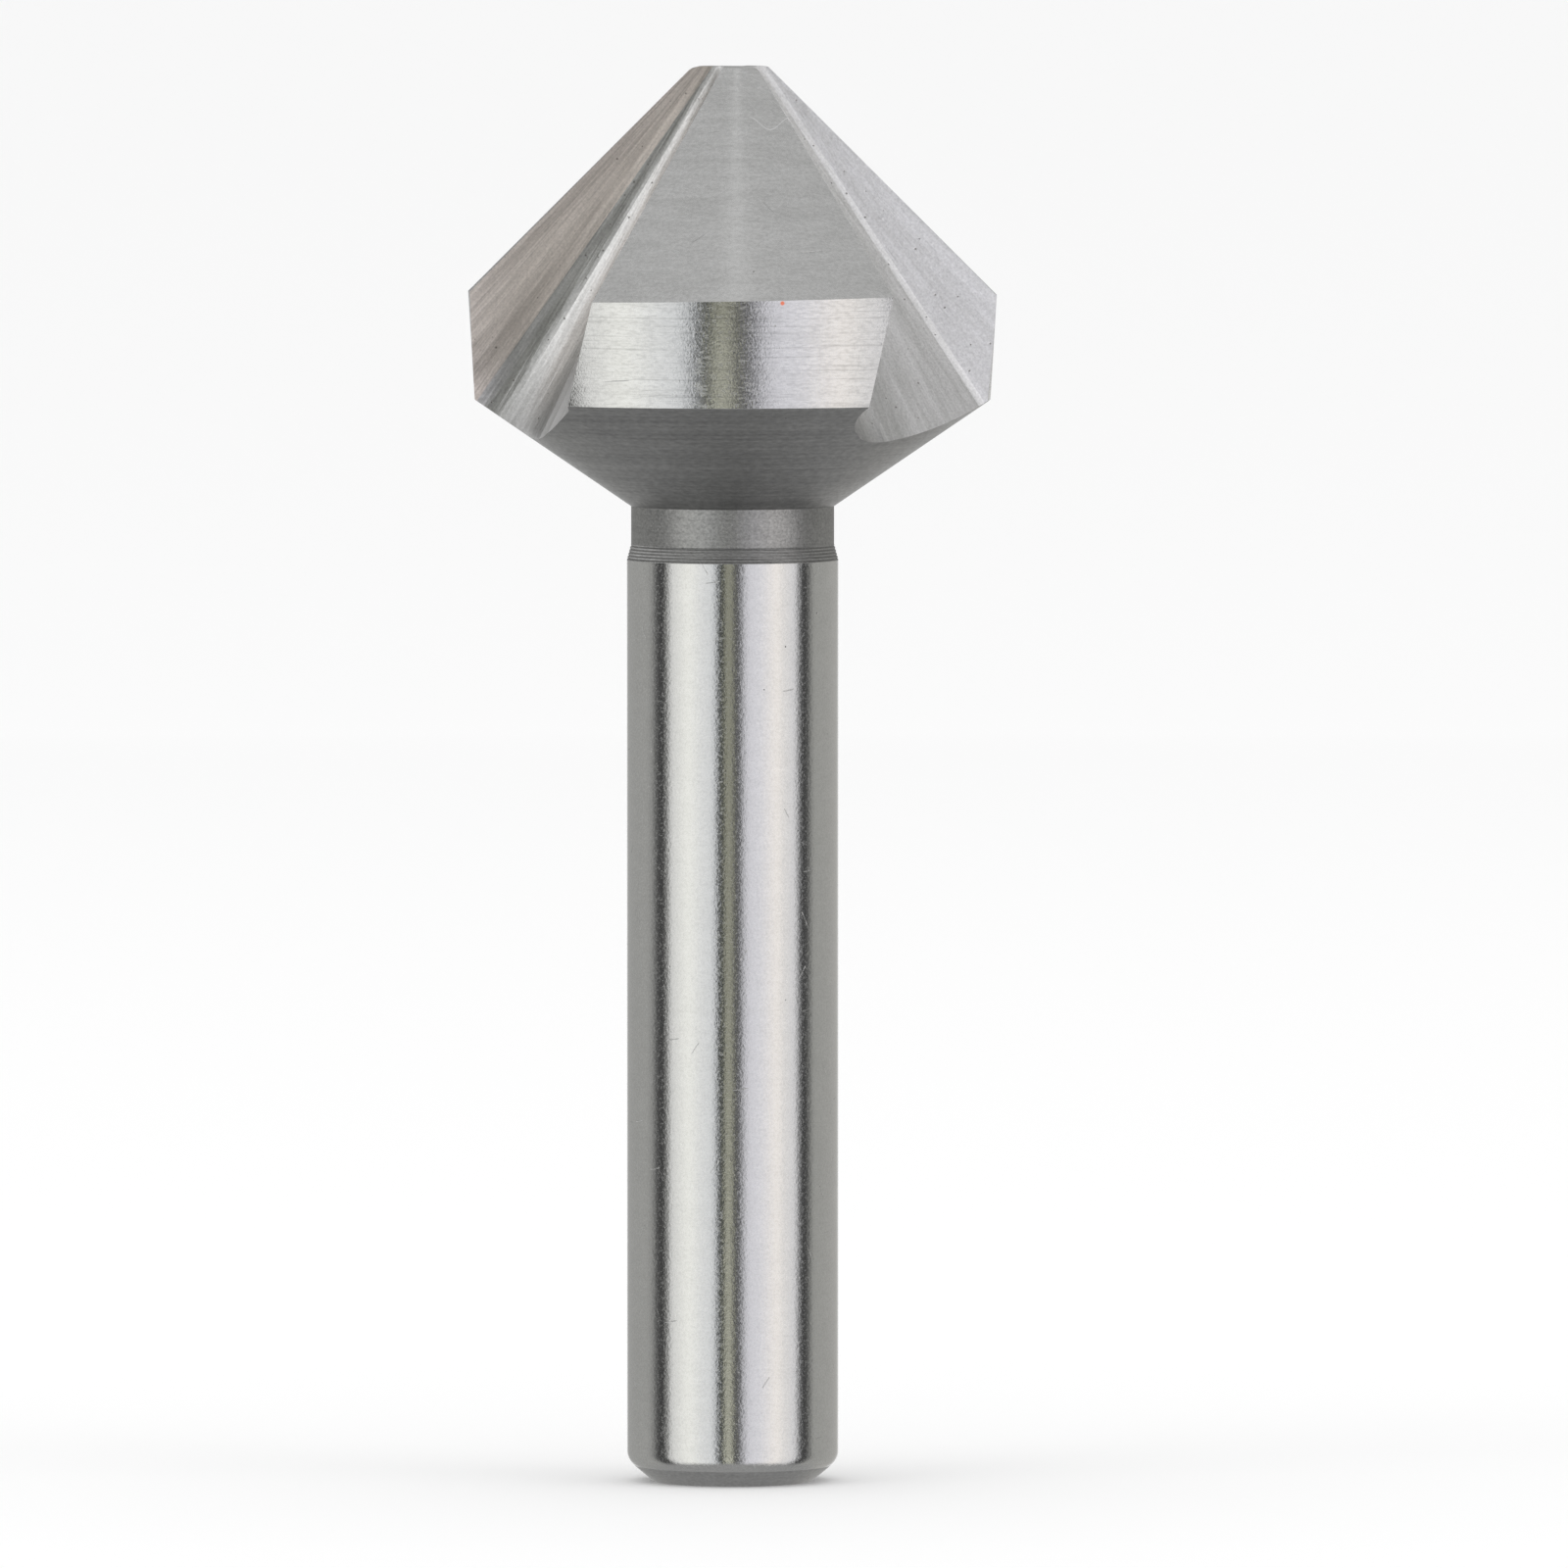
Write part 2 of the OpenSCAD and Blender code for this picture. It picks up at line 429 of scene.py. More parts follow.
finish = {
    "shank": {
        "steel": (0.61, 0.61, 0.602),
        "worn": (0.52, 0.52, 0.51),
        "roughness": 0.13,
        "stretch": 0.5,               # how far reflections are drawn out across the marks
        "lines": (2.6, 9.0),          # marks per millimetre, round the axis and along it
        "lineDepth": 0.0015,
        "grain": 6.5,
        "shades": 0.4,                # how far the marks go from clean steel to worn
        "dashes": 0.02,
        "speckle": 0.07,
        "roughDots": 0.13,
        "scratches": 0.3,
    },
    "band": {
        "steel": (0.61, 0.61, 0.605),
        "worn": (0.48, 0.48, 0.47),
        "roughness": 0.12,
        "stretch": 0.5,
        "lines": (0.6, 11.0),
        "lineDepth": 0.003,
        "grain": 9.0,
        "grainDepth": 0.008,
        "shades": 0.5,
        "dashes": 0.2,
        "speckle": 0.12,
        "dotLength": 3.0,
        "roughDots": 0.15,
        "scratches": 0.3,
    },
    "land": {
        "steel": (0.56, 0.56, 0.555),
        "worn": (0.4, 0.4, 0.39),
        "roughness": 0.25,
        "stretch": 0.6,
        "lines": (0.9, 8.0),
        "lineDepth": 0.003,
        "grain": 6.0,
        "grainDepth": 0.001,
        "shades": 0.5,
        "dashes": 0.02,
        "speckle": 0.09,
        "dotLength": 1.6,
        "roughDots": 0.06,
        "scratches": 0.2,
    },
    "turned": {
        "steel": (0.345, 0.345, 0.34),
        "worn": (0.255, 0.255, 0.25),
        "roughness": 0.42,
        "stretch": 0.0,
        "lines": (0.25, 7.0),
        "lineDepth": 0.004,
        "grain": 6.0,
        "grainDepth": 0.014,
        "shades": 0.6,
        "dashes": 0.1,
        "speckle": 0.17,
        "dotLength": 1.3,
        "scratches": 0.1,
    },
    "groove": {                       # the lathe grooves on the shoulder, painted darker than the turned steel: painted shade in the grooves
        "steel": (0.32, 0.32, 0.315),
        "worn": (0.12, 0.12, 0.12),
        "roughness": 0.5,
        "stretch": 0.0,
        "lines": (0.25, 7.0),
        "lineDepth": 0.003,
        "grainDepth": 0.01,
        "shades": 0.6,
    },
    "back": {
        "steel": (0.4, 0.4, 0.395),
        "worn": (0.24, 0.24, 0.24),
        "roughness": 0.4,
        "stretch": 0.3,
        "lines": (0.08, 10.0),
        "lineDepth": 0.01,
        "grain": 6.0,
        "grainDepth": 0.008,
        "shades": 0.7,
        "dashes": 0.12,
        "speckle": 0.13,
        "dotLength": 3.0,
        "scratches": 0.15,
    },
    "end": {
        "steel": (0.48, 0.48, 0.475),
        "worn": (0.36, 0.36, 0.355),
        "roughness": 0.4,
        "stretch": 0.3,
        "lines": (0.3, 8.0),
        "lineDepth": 0.004,
        "grainDepth": 0.008,
        "shades": 0.3,
        "dashes": 0.1,
        "dotLength": 1.5,
        "scratches": 0.1,
    },
    "point": {
        "steel": (0.5, 0.5, 0.49),
        "worn": (0.36, 0.36, 0.35),
        "roughness": 0.3,
        "stretch": 0.2,
        "lines": (0.5, 8.0),
        "lineDepth": 0.002,
        "grainDepth": 0.008,
        "shades": 0.6,
        "dashes": 0.1,
        "scratches": 0.1,
    },
    "edge": {                         # painted highlight: the rounded line between a flute's floor and its heel, painted light
        "steel": (0.89, 0.89, 0.9),
        "worn": (0.64, 0.64, 0.63),
        "roughness": 0.34,
        "stretch": 0.4,
        "streaks": (14.0, 50.0, 110.0),
        "streakDepth": 0.03,
        "grain": 4.0,
        "grainDepth": 0.003,
        "shades": 0.6,
    },
    "rake": {                         # the cutting face
        "steel": (0.76, 0.7, 0.65),
        "worn": (0.42, 0.384, 0.354),
        "roughness": 0.32,
        "stretch": 0.6,
        "streaks": (9.0, 34.0, 95.0),    # broad, middling and fine, across the fan
        "streakDepth": 0.05,
        "shades": 1.0,
        "scratches": 0.1,
    },
    "gullet": {
        "steel": (0.6, 0.6, 0.595),
        "worn": (0.25, 0.25, 0.24),
        "roughness": 0.34,
        "stretch": 0.6,
        "streaks": (11.0, 40.0, 100.0),
        "streakDepth": 0.05,
        "shades": 1.0,
        "speckle": 0.12,
    },
    "gulletLitSide": {                       # the gullet's side next to the floor, painted lighter as a painted highlight, with painted shade towards the root
        "steel": (0.9, 0.895, 0.89),
        "worn": (0.5, 0.5, 0.49),
        "roughness": 0.32,
        "stretch": 0.6,
        "streaks": (12.0, 40.0, 100.0),
        "streakDepth": 0.04,
        "shades": 0.8,
        "paintedRootShade": 0.35,
        "rootTop": 54.0,
    },
    # a flute's floor: painted light, set lighter than the other ground faces, with painted shade
    # towards the root and on its grazing reflection
    "floor": {
        "steel": (0.92, 0.915, 0.915),
        "worn": (0.64, 0.64, 0.625),
        "roughness": 0.42,
        "stretch": 0.8,
        "streaks": (9.0, 36.0, 100.0),
        "streakDepth": 0.04,
        "shades": 0.9,
        "scratches": 0.1,
        "paintedRootShade": 0.73,
        "grazingShade": 0.05,
    },
    "heel": {
        "steel": (0.82, 0.82, 0.835),
        "worn": (0.63, 0.63, 0.63),
        "roughness": 0.34,
        "stretch": 0.7,
        "streaks": (8.0, 34.0, 100.0),
        "streakDepth": 0.04,
        "shades": 0.85,
        "speckle": 0.09,
        "scratches": 0.15,
        "paintedRootShade": 0.95,
    },
}

marks = {
    "coarser": (0.3, 0.2),    # scale of the broad shades beside the lines, round and along
    "fanRise": 0.006,         # how little the streaks change along the flute
    "streakMix": (0.6, 0.4),  # middling and fine streaks
    "lineSpread": 0.14,       # noise this far from its middle is all clean or all worn
    "streakSpread": 0.1,
    "dotScale": 9.0,          # dots per millimetre in the speckle
    "dotRange": (0.3, 0.7),
    "roughDotRange": (0.55, 0.65),
    "rootHeight": 48.0,       # where the flutes run out, where the painted shade is darkest
    "dashScale": (0.12, 0.12, 9.0),
    "dashRange": (0.56, 0.68),
    "dashColour": (0.14, 0.14, 0.135, 1),
    "grainRange": (0.25, 0.75),
    "grainRoughness": (0.85, 1.2),    # least and greatest share of the roughness
}

wear = {
    "pitSpacing": 0.5,        # millimetres between the pits' cells
    "pitRadius": 0.08,
    "smallestPit": 0.4,       # share of that radius
    "pitFloor": 0.3,          # share of a pit that is dark all over
    "pitShare": 0.8,          # share of cells that have a pit, in the flutes
    "otherPits": 0.02,        # how many of those other surfaces have
    "pitStrength": 0.7,
    "pitColour": (0.1, 0.09, 0.08, 1),
    "pitDepth": 0.02,
    "scratchLength": 1.0,
    "scratchWidth": 0.07,
    "scratchEdge": (0.2, 0.4),    # where a scratch fades, in cells from its middle
    "scratchShare": 0.0012,   # share of cells that have a scratch
    "scratchTurns": (55.0, -62.0, 8.0),    # degrees from level
    "scratchColour": (0.3, 0.3, 0.3, 1),
    "scratchDepth": 0.012,
    "rustPlace": (2.35, -12.22, 56.2),
    "rustRadius": 0.14,
    "rustMiddle": 0.07,       # radius that has its full colour
    "rustStrength": 0.85,
    "rustColour": (0.8, 0.16, 0.05, 1),
}

hairline = {
    "left": 0.8,
    "right": 2.75,
    "height": 64.4,
    "sway": 0.28,
    "width": 0.035,
    "middle": 0.4,            # share of its width that is full
    "fade": 0.6,              # how far its ends fade, where all of it is a turn of 2 pi
    "strength": 0.6,
    "colour": (0.8, 0.8, 0.8, 1),
}

nodeGrid = {
    "left": -1800,
    "top": 600,
    "across": 180,
    "down": 240,
    "columns": 10,
}


class NodeBench:
    # lays nodes on one material and joins them up
    def __init__(self, tree):
        self.tree = tree
        self.count = 0

    def add(self, kind, **settings):
        node = self.tree.nodes.new(kind)
        row, column = divmod(self.count, nodeGrid["columns"])
        node.location = (nodeGrid["left"] + nodeGrid["across"] * column,
                         nodeGrid["top"] - nodeGrid["down"] * row)
        self.count += 1
        for name, value in settings.items():
            setattr(node, name, value)
        return node

    def put(self, socket, value):
        if isinstance(value, bpy.types.NodeSocket):
            self.tree.links.new(value, socket)
        else:
            socket.default_value = value

    def sum(self, operation, first, second=0.0, third=0.0, clamp=False):
        node = self.add("ShaderNodeMath", operation=operation, use_clamp=clamp)
        self.put(node.inputs[0], first)
        self.put(node.inputs[1], second)
        self.put(node.inputs[2], third)
        return node.outputs[0]

    def vector(self, operation, first, second=(0.0, 0.0, 0.0)):
        node = self.add("ShaderNodeVectorMath", operation=operation)
        self.put(node.inputs[0], first)
        self.put(node.inputs[1], second)
        return node.outputs["Value"] if operation == "DISTANCE" else node.outputs[0]

    def scaled(self, first, factor):
        node = self.add("ShaderNodeVectorMath", operation="SCALE")
        self.put(node.inputs[0], first)
        self.put(node.inputs["Scale"], factor)
        return node.outputs[0]

    def split(self, place):
        node = self.add("ShaderNodeSeparateXYZ")
        self.put(node.inputs[0], place)
        return node.outputs

    def chances(self, cells):
        # every cell has its own colour, whose parts serve as random numbers
        node = self.add("ShaderNodeSeparateColor")
        self.put(node.inputs[0], cells.outputs["Color"])
        return node.outputs

    def noise(self, place, scale, detail=2.0, roughness=0.5):
        node = self.add("ShaderNodeTexNoise")
        self.put(node.inputs["Vector"], place)
        self.put(node.inputs["Scale"], scale)
        self.put(node.inputs["Detail"], detail)
        self.put(node.inputs["Roughness"], roughness)
        return node.outputs["Fac"]

    def ranged(self, value, low, high, newLow=0.0, newHigh=1.0, smooth=False):
        node = self.add("ShaderNodeMapRange", interpolation_type="SMOOTHSTEP" if smooth else "LINEAR")
        self.put(node.inputs["Value"], value)
        self.put(node.inputs["From Min"], low)
        self.put(node.inputs["From Max"], high)
        self.put(node.inputs["To Min"], newLow)
        self.put(node.inputs["To Max"], newHigh)
        return node.outputs["Result"]

    def blend(self, share, first, second):
        node = self.add("ShaderNodeMix", data_type="RGBA")
        self.put(node.inputs["Factor"], share)
        self.put(node.inputs[6], first)
        self.put(node.inputs[7], second)
        return node.outputs[2]


def solid(colour):
    return (colour[0], colour[1], colour[2], 1.0)


def grey(level):
    return (level, level, level, 1.0)


def addLines(bench, shader, look, place):
    # marks of the lathe or the wheel, round the axis
    across, along = look["lines"]
    scale = (across, across, along)
    fine = bench.noise(bench.vector("MULTIPLY", place, scale), 1.0, detail=3.0, roughness=0.6)
    wider, longer = marks["coarser"]
    scale = (across * wider, across * wider, along * longer)
    broad = bench.noise(bench.vector("MULTIPLY", place, scale), 1.0)
    axis = bench.add("ShaderNodeCombineXYZ")
    axis.inputs["Z"].default_value = 1.0
    bench.put(shader.inputs["Tangent"], axis.outputs[0])
    return fine, broad


def addStreaks(bench, shader, look, place):
    # grinding streaks, fanned out from the cone's apex
    parts = bench.split(place)
    below = bench.sum("SUBTRACT", apexHeight, parts["Z"])
    fan = bench.add("ShaderNodeCombineXYZ")
    for side in ("X", "Y"):
        bench.put(fan.inputs[side], bench.sum("DIVIDE", parts[side], below))
    bench.put(fan.inputs["Z"], bench.sum("MULTIPLY", parts["Z"], marks["fanRise"]))
    broadScale, middleScale, fineScale = look["streaks"]
    broad = bench.noise(fan.outputs[0], broadScale)
    middle = bench.noise(fan.outputs[0], middleScale, detail=3.0, roughness=0.6)
    fine = bench.noise(fan.outputs[0], fineScale, detail=2.0, roughness=0.6)
    middleShare, fineShare = marks["streakMix"]
    fine = bench.sum("MULTIPLY", fine, fineShare)
    fine = bench.sum("MULTIPLY_ADD", middle, middleShare, fine)
    fromApex = bench.vector("SUBTRACT", place, (0.0, 0.0, apexHeight))
    facing = bench.add("ShaderNodeNewGeometry").outputs["Normal"]
    across = bench.vector("CROSS_PRODUCT", facing, fromApex)
    bench.put(shader.inputs["Tangent"], bench.vector("NORMALIZE", across))
    return fine, broad


def addShades(bench, look, fine, broad, spread):
    # the marks and the broad shades lie between clean and worn steel
    low = 0.5 - spread
    high = 0.5 + spread
    half = bench.sum("MULTIPLY", bench.ranged(broad, low, high), 0.5)
    share = bench.sum("MULTIPLY_ADD", bench.ranged(fine, low, high), 0.5, half, clamp=True)
    share = bench.sum("MULTIPLY", share, look["shades"], clamp=True)
    return bench.blend(share, solid(look["steel"]), solid(look["worn"]))


def addSpeckleAndPaintedShade(bench, look, place, dots, colour):
    # light and dark dots, and a painted shade that deepens towards the neck
    low, high = marks["dotRange"]
    shade = bench.ranged(dots, low, high, 1 - look["speckle"], 1 + look["speckle"])
    # painted shade: the colour darkens towards the flutes' root
    if look["paintedRootShade"] < 1:
        level = bench.split(place)["Z"]
        root = bench.ranged(level, marks["rootHeight"], look["rootTop"], look["paintedRootShade"], 1.0)
        shade = bench.sum("MULTIPLY", shade, root)
    return bench.scaled(colour, shade)


def addDashes(bench, look, place, colour):
    # thin darker lines
    low, high = marks["dashRange"]
    long = bench.vector("MULTIPLY", place, marks["dashScale"])
    thin = bench.noise(long, 1.0, detail=2.0, roughness=0.6)
    dashes = bench.ranged(thin, low, high, 0.0, look["dashes"], smooth=True)
    return bench.blend(dashes, colour, marks["dashColour"])


def addScratches(bench, look, place, colour, height):
    # long thin cells laid round the bit, few of which are filled
    parts = bench.split(place)
    turn = bench.sum("ARCTAN2", parts["X"], bench.sum("MULTIPLY", parts["Y"], -1.0))
    unrolled = bench.add("ShaderNodeCombineXYZ")
    bench.put(unrolled.inputs["X"], bench.sum("MULTIPLY", turn, bit["shankRadius"]))
    bench.put(unrolled.inputs["Y"], parts["Z"])
    full, faded = wear["scratchEdge"]
    for lean in wear["scratchTurns"]:
        turned = bench.add("ShaderNodeMapping", vector_type="TEXTURE")
        turned.inputs["Rotation"].default_value = (0, 0, math.radians(lean))
        turned.inputs["Scale"].default_value = (wear["scratchLength"], wear["scratchWidth"], 1)
        bench.put(turned.inputs["Vector"], unrolled.outputs[0])
        cells = bench.add("ShaderNodeTexVoronoi", voronoi_dimensions="2D")
        bench.put(cells.inputs["Vector"], turned.outputs[0])
        cells.inputs["Scale"].default_value = 1.0
        kept = bench.sum("LESS_THAN", bench.chances(cells)["Red"], wear["scratchShare"])
        line = bench.ranged(cells.outputs["Distance"], full, faded, 1.0, 0.0, smooth=True)
        line = bench.sum("MULTIPLY", line, kept)
        dark = bench.sum("MULTIPLY", line, look["scratches"])
        colour = bench.blend(dark, colour, wear["scratchColour"])
        height = bench.sum("SUBTRACT", height, bench.sum("MULTIPLY", line, wear["scratchDepth"]))
    return colour, height


def addPits(bench, place, colour, height, pitShare):
    cells = bench.add("ShaderNodeTexVoronoi")
    bench.put(cells.inputs["Vector"], place)
    cells.inputs["Scale"].default_value = 1 / wear["pitSpacing"]
    chances = bench.chances(cells)
    kept = bench.sum("LESS_THAN", chances["Red"], pitShare)
    # distances in the cells are counted in cells, so the radius is too
    largest = wear["pitRadius"] / wear["pitSpacing"]
    size = bench.ranged(chances["Green"], 0.0, 1.0, largest * wear["smallestPit"], largest)
    middle = bench.sum("MULTIPLY", size, wear["pitFloor"])
    pits = bench.ranged(cells.outputs["Distance"], middle, size, 1.0, 0.0, smooth=True)
    pits = bench.sum("MULTIPLY", pits, kept)
    dark = bench.sum("MULTIPLY", pits, wear["pitStrength"])
    colour = bench.blend(dark, colour, wear["pitColour"])
    height = bench.sum("SUBTRACT", height, bench.sum("MULTIPLY", pits, wear["pitDepth"]))
    return colour, height


def addRust(bench, place, colour):
    # one dot on the rim
    gap = bench.vector("DISTANCE", place, wear["rustPlace"])
    strength = wear["rustStrength"]
    rust = bench.ranged(gap, wear["rustMiddle"], wear["rustRadius"], strength, 0.0, smooth=True)
    return bench.blend(rust, colour, wear["rustColour"])


def addHairline(bench, place, colour):
    # a faint curled line near the point of the front land: one wave, faded at both ends
    parts = bench.split(place)
    length = hairline["right"] - hairline["left"]
    start = -math.tau * hairline["left"] / length
    along = bench.sum("MULTIPLY_ADD", parts["X"], math.tau / length, start)
    cosine = bench.sum("COSINE", along)
    curl = bench.sum("MULTIPLY_ADD", cosine, hairline["sway"], hairline["height"])
    off = bench.sum("ABSOLUTE", bench.sum("SUBTRACT", parts["Z"], curl))
    width = hairline["width"]
    line = bench.ranged(off, width * hairline["middle"], width, 1.0, 0.0, smooth=True)
    fade = hairline["fade"]
    rises = bench.ranged(along, 0.0, fade)
    falls = bench.ranged(along, math.tau - fade, math.tau, 1.0, 0.0)
    isFront = bench.sum("LESS_THAN", parts["Y"], 0.0)
    for share in (bench.sum("MULTIPLY", rises, falls), isFront, hairline["strength"]):
        line = bench.sum("MULTIPLY", line, share)
    return bench.blend(line, colour, hairline["colour"])


def makeSteel(zone):
    look = plain | finish[zone]
    steel = bpy.data.materials.new(zone + "Steel")
    steel.use_nodes = True
    shader = steel.node_tree.nodes["Principled BSDF"]
    bench = NodeBench(steel.node_tree)
    inMillimetres = bench.add("ShaderNodeMapping")
    inMillimetres.inputs["Scale"].default_value = [1 / millimetre] * 3
    objectPlace = bench.add("ShaderNodeTexCoord").outputs["Object"]
    bench.put(inMillimetres.inputs["Vector"], objectPlace)
    place = inMillimetres.outputs["Vector"]

    # the flutes have streaks and most of the pits, and all else has lines
    if "streaks" in look:
        fine, broad = addStreaks(bench, shader, look, place)
        depth = look["streakDepth"]
        spread = marks["streakSpread"]
        pitShare = wear["pitShare"]
    else:
        fine, broad = addLines(bench, shader, look, place)
        depth = look["lineDepth"]
        spread = marks["lineSpread"]
        pitShare = wear["otherPits"] * wear["pitShare"]
    colour = addShades(bench, look, fine, broad, spread)
    lying = bench.vector("MULTIPLY", place, (1 / look["dotLength"], 1 / look["dotLength"], 1.0))
    dots = bench.noise(lying, marks["dotScale"], detail=1.0, roughness=0.6)
    colour = addSpeckleAndPaintedShade(bench, look, place, dots, colour)
    if look["dashes"] > 0:
        colour = addDashes(bench, look, place, colour)

    grain = bench.noise(place, look["grain"], detail=2.0, roughness=0.7)
    height = bench.sum("MULTIPLY", fine, depth)
    height = bench.sum("MULTIPLY_ADD", grain, look["grainDepth"], height)
    if look["scratches"] > 0:
        colour, height = addScratches(bench, look, place, colour, height)
    colour, height = addPits(bench, place, colour, height, pitShare)
    colour = addRust(bench, place, colour)
    if zone == "land":
        colour = addHairline(bench, place, colour)
    bench.put(shader.inputs["Base Color"], colour)

    low, high = marks["grainRange"]
    least, most = [look["roughness"] * share for share in marks["grainRoughness"]]
    roughness = bench.ranged(grain, low, high, least, most)
    if look["roughDots"] > 0:
        low, high = marks["roughDotRange"]
        rougher = bench.ranged(dots, low, high, 0.0, look["roughDots"], smooth=True)
        roughness = bench.sum("ADD", roughness, rougher)
    bench.put(shader.inputs["Roughness"], roughness)
    shader.inputs["Metallic"].default_value = 1.0
    shader.inputs["Anisotropic"].default_value = look["stretch"]
    # painted shade: the reflection seen along the surface is darkened, standing in for the shadow the
    # grinding lines cast on each other
    shader.inputs["Specular Tint"].default_value = grey(look["grazingShade"])
    bump = bench.add("ShaderNodeBump")
    bump.inputs["Strength"].default_value = 1.0
    bump.inputs["Distance"].default_value = millimetre
    bench.put(bump.inputs["Height"], height)
    bench.put(shader.inputs["Normal"], bump.outputs["Normal"])
    return steel


zones = {zone: makeSteel(zone) for zone in finish}
print("stage 2: finishes made,", len(zones))

piece = makeBit(zones)
pick(piece)
bpy.ops.object.shade_smooth_by_angle(angle=math.radians(bit["sharpAngle"]))
piece.scale = [millimetre] * 3
bpy.ops.object.transform_apply(location=True, rotation=True, scale=True)
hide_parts("countersink_bit")
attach(piece, "root")
print("stage 5: bit finished,", len(piece.data.polygons), "faces")


# Studio: a pale floor, two soft lamps, and a light tent whose panels the steel mirrors

studio = {
    "floorRadius": 12.0,
    "floorSides": 96,
    "floorColour": (0.92, 0.92, 0.92, 1),
    "floorRoughness": 0.9,
    "floorShine": 0.1,
    "whiteLevel": 0.955,      # what the camera sees past the floor
    "skyLevel": 1.02,         # what lights the floor
    "tentRadius": 0.7,
    "tentSides": (48, 24),
    "lampWatts": 1.0,
    "lampSize": 0.6,
    "lampPlaces": {
        "softLampLeft": (-0.7, -0.5, 0.9),
        "softLampRight": (0.8, -0.4, 0.9),
    },
    "lampAim": (0, 0, 0.03),
    "underLevel": 0.42,       # the tent's shaded part, below the bit
    "upperLevel": 0.64,       # above the panels, where they end
    "leftUpper": 1.25,        # light above the panels on the left, which the flute there sees
    "rightGleam": 1.25,       # how much brighter the panels on the right grow upwards
    "rearLevel": 0.3,         # above the panels at the back
    "ceilingLevel": 0.74,
    "streakLevel": 1.02,      # a bright streak along the ceiling
    "streakWidth": 0.06,
    "stripTurn": 5.0,         # degrees to the left
    "stripHalf": (2.0, 6.0),  # degrees to either side where the strip begins to fade and ends
    "stripColour": (0.78, 0.78, 0.66, 1),
    # where the tent's parts begin and are full, as shares of its radius along one axis
    "upperFrom": (0.48, 0.6),
    "highFrom": (0.68, 0.86),
    "lowFrom": (-0.5, -0.75),
    "footFrom": (-0.08, -0.13),
    "raisedFrom": (0.16, 0.32),
    "rightFrom": (-0.05, 0.05),
    "leftFrom": (-0.15, -0.3),
    "rearFrom": (0.8, 0.95),
    "rearRaised": (0.0, 0.07),
    # the tent's panels: compass turn from the front towards the right, and their light
    "panels": [
        (-180, (1.0, 1.0, 1.0)),
        (-172, (0.9, 0.9, 0.9)),
        (-164, (0.45, 0.45, 0.44)),
        (-108, (0.5, 0.5, 0.485)),
        (-99, (0.42, 0.42, 0.41)),
        (-91, (0.12, 0.12, 0.12)),
        (-82, (0.05, 0.05, 0.05)),
        (-76, (0.36, 0.36, 0.35)),
        (-71, (1.03, 1.03, 1.02)),
        (-62, (1.16, 1.16, 1.13)),
        (-49, (1.36, 1.36, 1.3)),
        (-34, (1.14, 1.15, 1.15)),
        (-23, (1.06, 1.08, 1.1)),
        (-18, (0.78, 0.8, 0.83)),
        (-15, (0.11, 0.115, 0.115)),
        (-11, (0.035, 0.04, 0.035)),
        (-7, (0.4, 0.4, 0.32)),
        (-1, (0.4, 0.4, 0.32)),
        (3, (0.12, 0.12, 0.12)),
        (7, (0.15, 0.15, 0.16)),
        (11, (0.6, 0.6, 0.63)),
        (16, (1.0, 0.99, 1.06)),
        (30, (1.1, 1.09, 1.15)),
        (50, (1.38, 1.31, 1.26)),
        (58, (1.16, 1.13, 1.12)),
        (72, (1.05, 1.04, 1.07)),
        (77, (0.4, 0.4, 0.41)),
        (82, (0.06, 0.06, 0.06)),
        (89, (0.1, 0.1, 0.1)),
        (99, (0.49, 0.49, 0.47)),
        (162, (0.545, 0.535, 0.515)),
        (172, (0.9, 0.9, 0.9)),
    ],
}


def makeRamp(bench, turn):
    # the panels' light, by compass turn
    panels = bench.add("ShaderNodeValToRGB")
    ramp = panels.color_ramp
    ramp.interpolation = "LINEAR"
    ramp.elements.remove(ramp.elements[-1])
    for number, (compass, light) in enumerate(studio["panels"]):
        position = (compass + 180) / 360
        stop = ramp.elements[0] if number == 0 else ramp.elements.new(position)
        stop.position = position
        stop.color = solid(light)
    bench.put(panels.inputs["Fac"], bench.sum("MULTIPLY_ADD", turn, 0.5 / math.pi, 0.5))
    return panels.outputs["Color"]


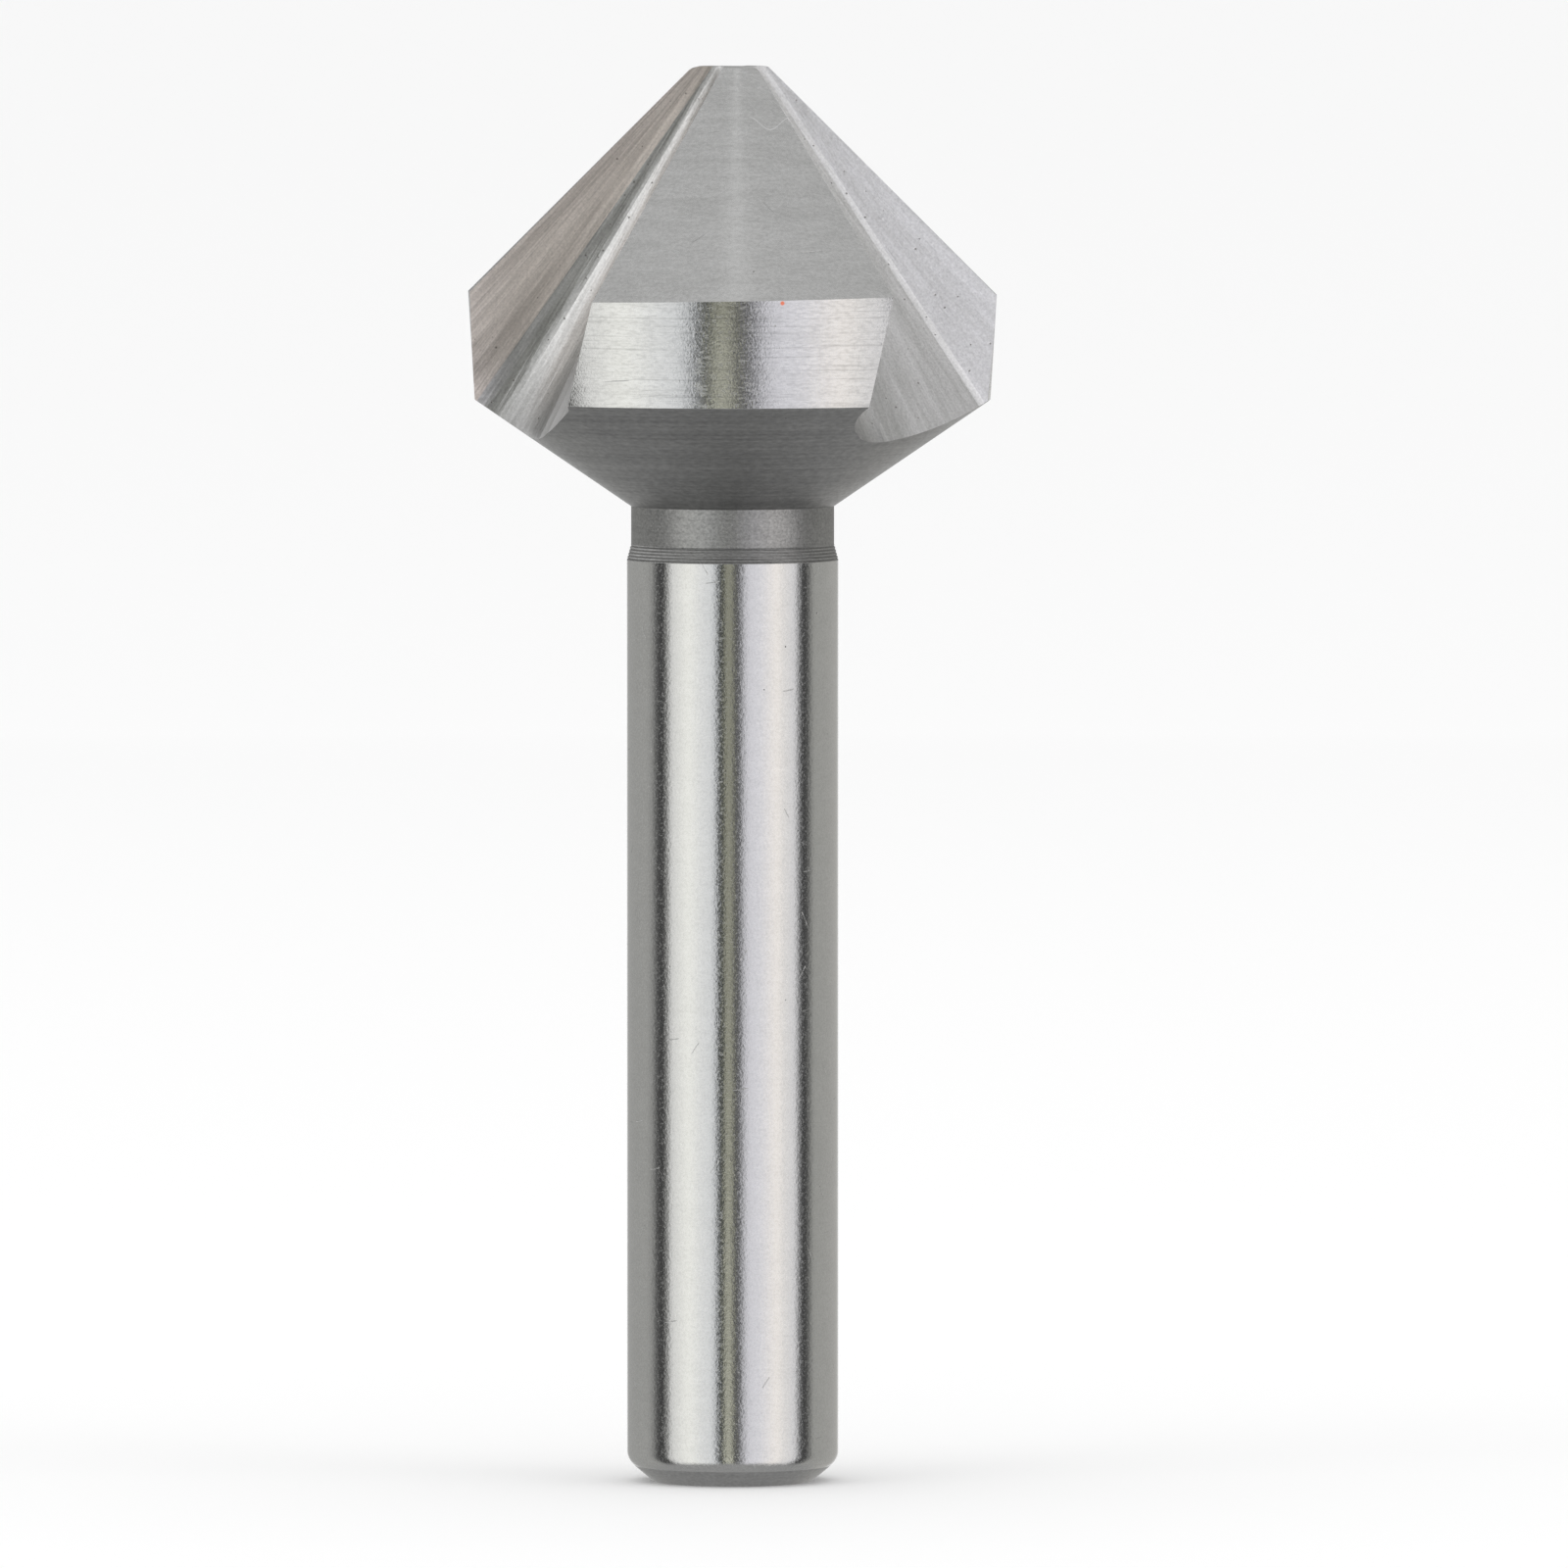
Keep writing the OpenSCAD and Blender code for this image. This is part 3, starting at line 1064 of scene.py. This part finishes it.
def makeTent():
    # seen by the steel alone: open for the camera, and it takes no light from the floor
    calmDown()
    segments, rings = studio["tentSides"]
    bpy.ops.mesh.primitive_uv_sphere_add(segments=segments, ring_count=rings,
                                         radius=studio["tentRadius"], location=(0, 0, 0))
    tent = bpy.context.active_object
    tent.name = "lightTent"
    cloth = bpy.data.materials.new("tentPanels")
    cloth.use_nodes = True
    tree = cloth.node_tree
    bench = NodeBench(tree)
    tree.nodes.remove(tree.nodes["Principled BSDF"])
    direction = bench.vector("NORMALIZE", bench.add("ShaderNodeTexCoord").outputs["Object"])
    parts = bench.split(direction)

    def reaches(side, part):
        # 0 where that part of the tent begins, along one axis, and 1 where it is full
        begins, full = studio[part]
        return bench.ranged(parts[side], begins, full, smooth=True)

    turn = bench.sum("ARCTAN2", parts["X"], bench.sum("MULTIPLY", parts["Y"], -1.0))
    light = makeRamp(bench, turn)
    # the warm strip in the middle is brighter low down, where only the band sees it
    offMiddle = bench.sum("ABSOLUTE", bench.sum("ADD", turn, math.radians(studio["stripTurn"])))
    begins, ends = [math.radians(angle) for angle in studio["stripHalf"]]
    inStrip = bench.ranged(offMiddle, begins, ends, 1.0, 0.0, smooth=True)
    isFoot = bench.sum("MULTIPLY", inStrip, reaches("Z", "footFrom"))
    light = bench.blend(isFoot, light, studio["stripColour"])
    # above the panels: brighter on the right, even on the left, and dark at the back
    isRaised = reaches("Z", "raisedFrom")
    isRight = bench.ranged(parts["X"], *studio["rightFrom"])
    isRight = bench.sum("MULTIPLY", isRaised, isRight)
    light = bench.scaled(light, bench.ranged(isRight, 0.0, 1.0, 1.0, studio["rightGleam"]))
    isLeft = bench.sum("MULTIPLY", isRaised, reaches("X", "leftFrom"))
    light = bench.blend(isLeft, light, grey(studio["leftUpper"]))
    isRear = bench.sum("MULTIPLY", reaches("Y", "rearFrom"), reaches("Z", "rearRaised"))
    light = bench.blend(isRear, light, grey(studio["rearLevel"]))
    light = bench.blend(reaches("Z", "upperFrom"), light, grey(studio["upperLevel"]))
    # the ceiling, with a bright streak from front to back
    off = bench.sum("ABSOLUTE", parts["X"])
    streak = bench.ranged(off, 0.0, studio["streakWidth"], studio["streakLevel"],
                          studio["ceilingLevel"], smooth=True)
    ceiling = bench.add("ShaderNodeCombineColor")
    for name in ("Red", "Green", "Blue"):
        bench.put(ceiling.inputs[name], streak)
    light = bench.blend(reaches("Z", "highFrom"), light, ceiling.outputs["Color"])
    light = bench.blend(reaches("Z", "lowFrom"), light, grey(studio["underLevel"]))

    glow = bench.add("ShaderNodeEmission")
    bench.put(glow.inputs["Color"], light)
    bench.put(tree.nodes["Material Output"].inputs["Surface"], glow.outputs["Emission"])
    tent.data.materials.append(cloth)
    tent.visible_camera = False
    tent.visible_diffuse = False
    tent.visible_shadow = False
    tent.visible_volume_scatter = False
    return tent


def makeFloor():
    calmDown()
    bpy.ops.mesh.primitive_circle_add(vertices=studio["floorSides"], radius=studio["floorRadius"],
                                      fill_type="NGON", location=(0, 0, 0))
    floor = bpy.context.active_object
    floor.name = "studioFloor"
    paint = bpy.data.materials.new("palePaint")
    paint.use_nodes = True
    shader = paint.node_tree.nodes["Principled BSDF"]
    shader.inputs["Base Color"].default_value = studio["floorColour"]
    shader.inputs["Roughness"].default_value = studio["floorRoughness"]
    shader.inputs["Specular IOR Level"].default_value = studio["floorShine"]
    floor.data.materials.append(paint)
    floor.visible_glossy = False
    return floor


def makeWorld():
    world = bpy.data.worlds.new("studioWorld")
    bpy.context.scene.world = world
    world.use_nodes = True
    bench = NodeBench(world.node_tree)
    rays = bench.add("ShaderNodeLightPath")
    seen = bench.sum("MAXIMUM", rays.outputs["Is Camera Ray"], rays.outputs["Is Glossy Ray"])
    seen = bench.sum("MAXIMUM", seen, rays.outputs["Is Transmission Ray"])
    level = bench.ranged(seen, 0.0, 1.0, studio["skyLevel"], studio["whiteLevel"])
    sky = world.node_tree.nodes["Background"]
    sky.inputs["Color"].default_value = (1, 1, 1, 1)
    bench.put(sky.inputs["Strength"], level)


def hangLamp(name, place):
    lamp = bpy.data.lights.new(name, "AREA")
    lamp.shape = "SQUARE"
    lamp.size = studio["lampSize"]
    lamp.energy = studio["lampWatts"]
    hung = bpy.data.objects.new(name, lamp)
    bpy.context.scene.collection.objects.link(hung)
    hung.location = place
    aim = Vector(studio["lampAim"]) - Vector(place)
    hung.rotation_euler = aim.to_track_quat("-Z", "Y").to_euler()
    hung.visible_glossy = False
    hung.visible_camera = False


makeFloor()
makeTent()
makeWorld()
for name, place in studio["lampPlaces"].items():
    hangLamp(name, place)
print("stage 6: studio built")


# Camera, at the height and distance that the photograph's head was seen from

view = {
    "place": (0.00243, -1.169, 0.0944),
    "aim": (0.00243, 0.0, 0.03304),
    "lens": 568.0,
    "sensor": 36.0,
}

cameraData = bpy.data.cameras.new("photoCamera")
camera = bpy.data.objects.new("photoCamera", cameraData)
bpy.context.scene.collection.objects.link(camera)
camera.location = view["place"]
gaze = Vector(view["aim"]) - Vector(view["place"])
camera.rotation_euler = gaze.to_track_quat("-Z", "Y").to_euler()
cameraData.sensor_width = view["sensor"]
cameraData.lens = view["lens"]
bpy.context.scene.camera = camera
bpy.context.scene.view_settings.view_transform = "Standard"
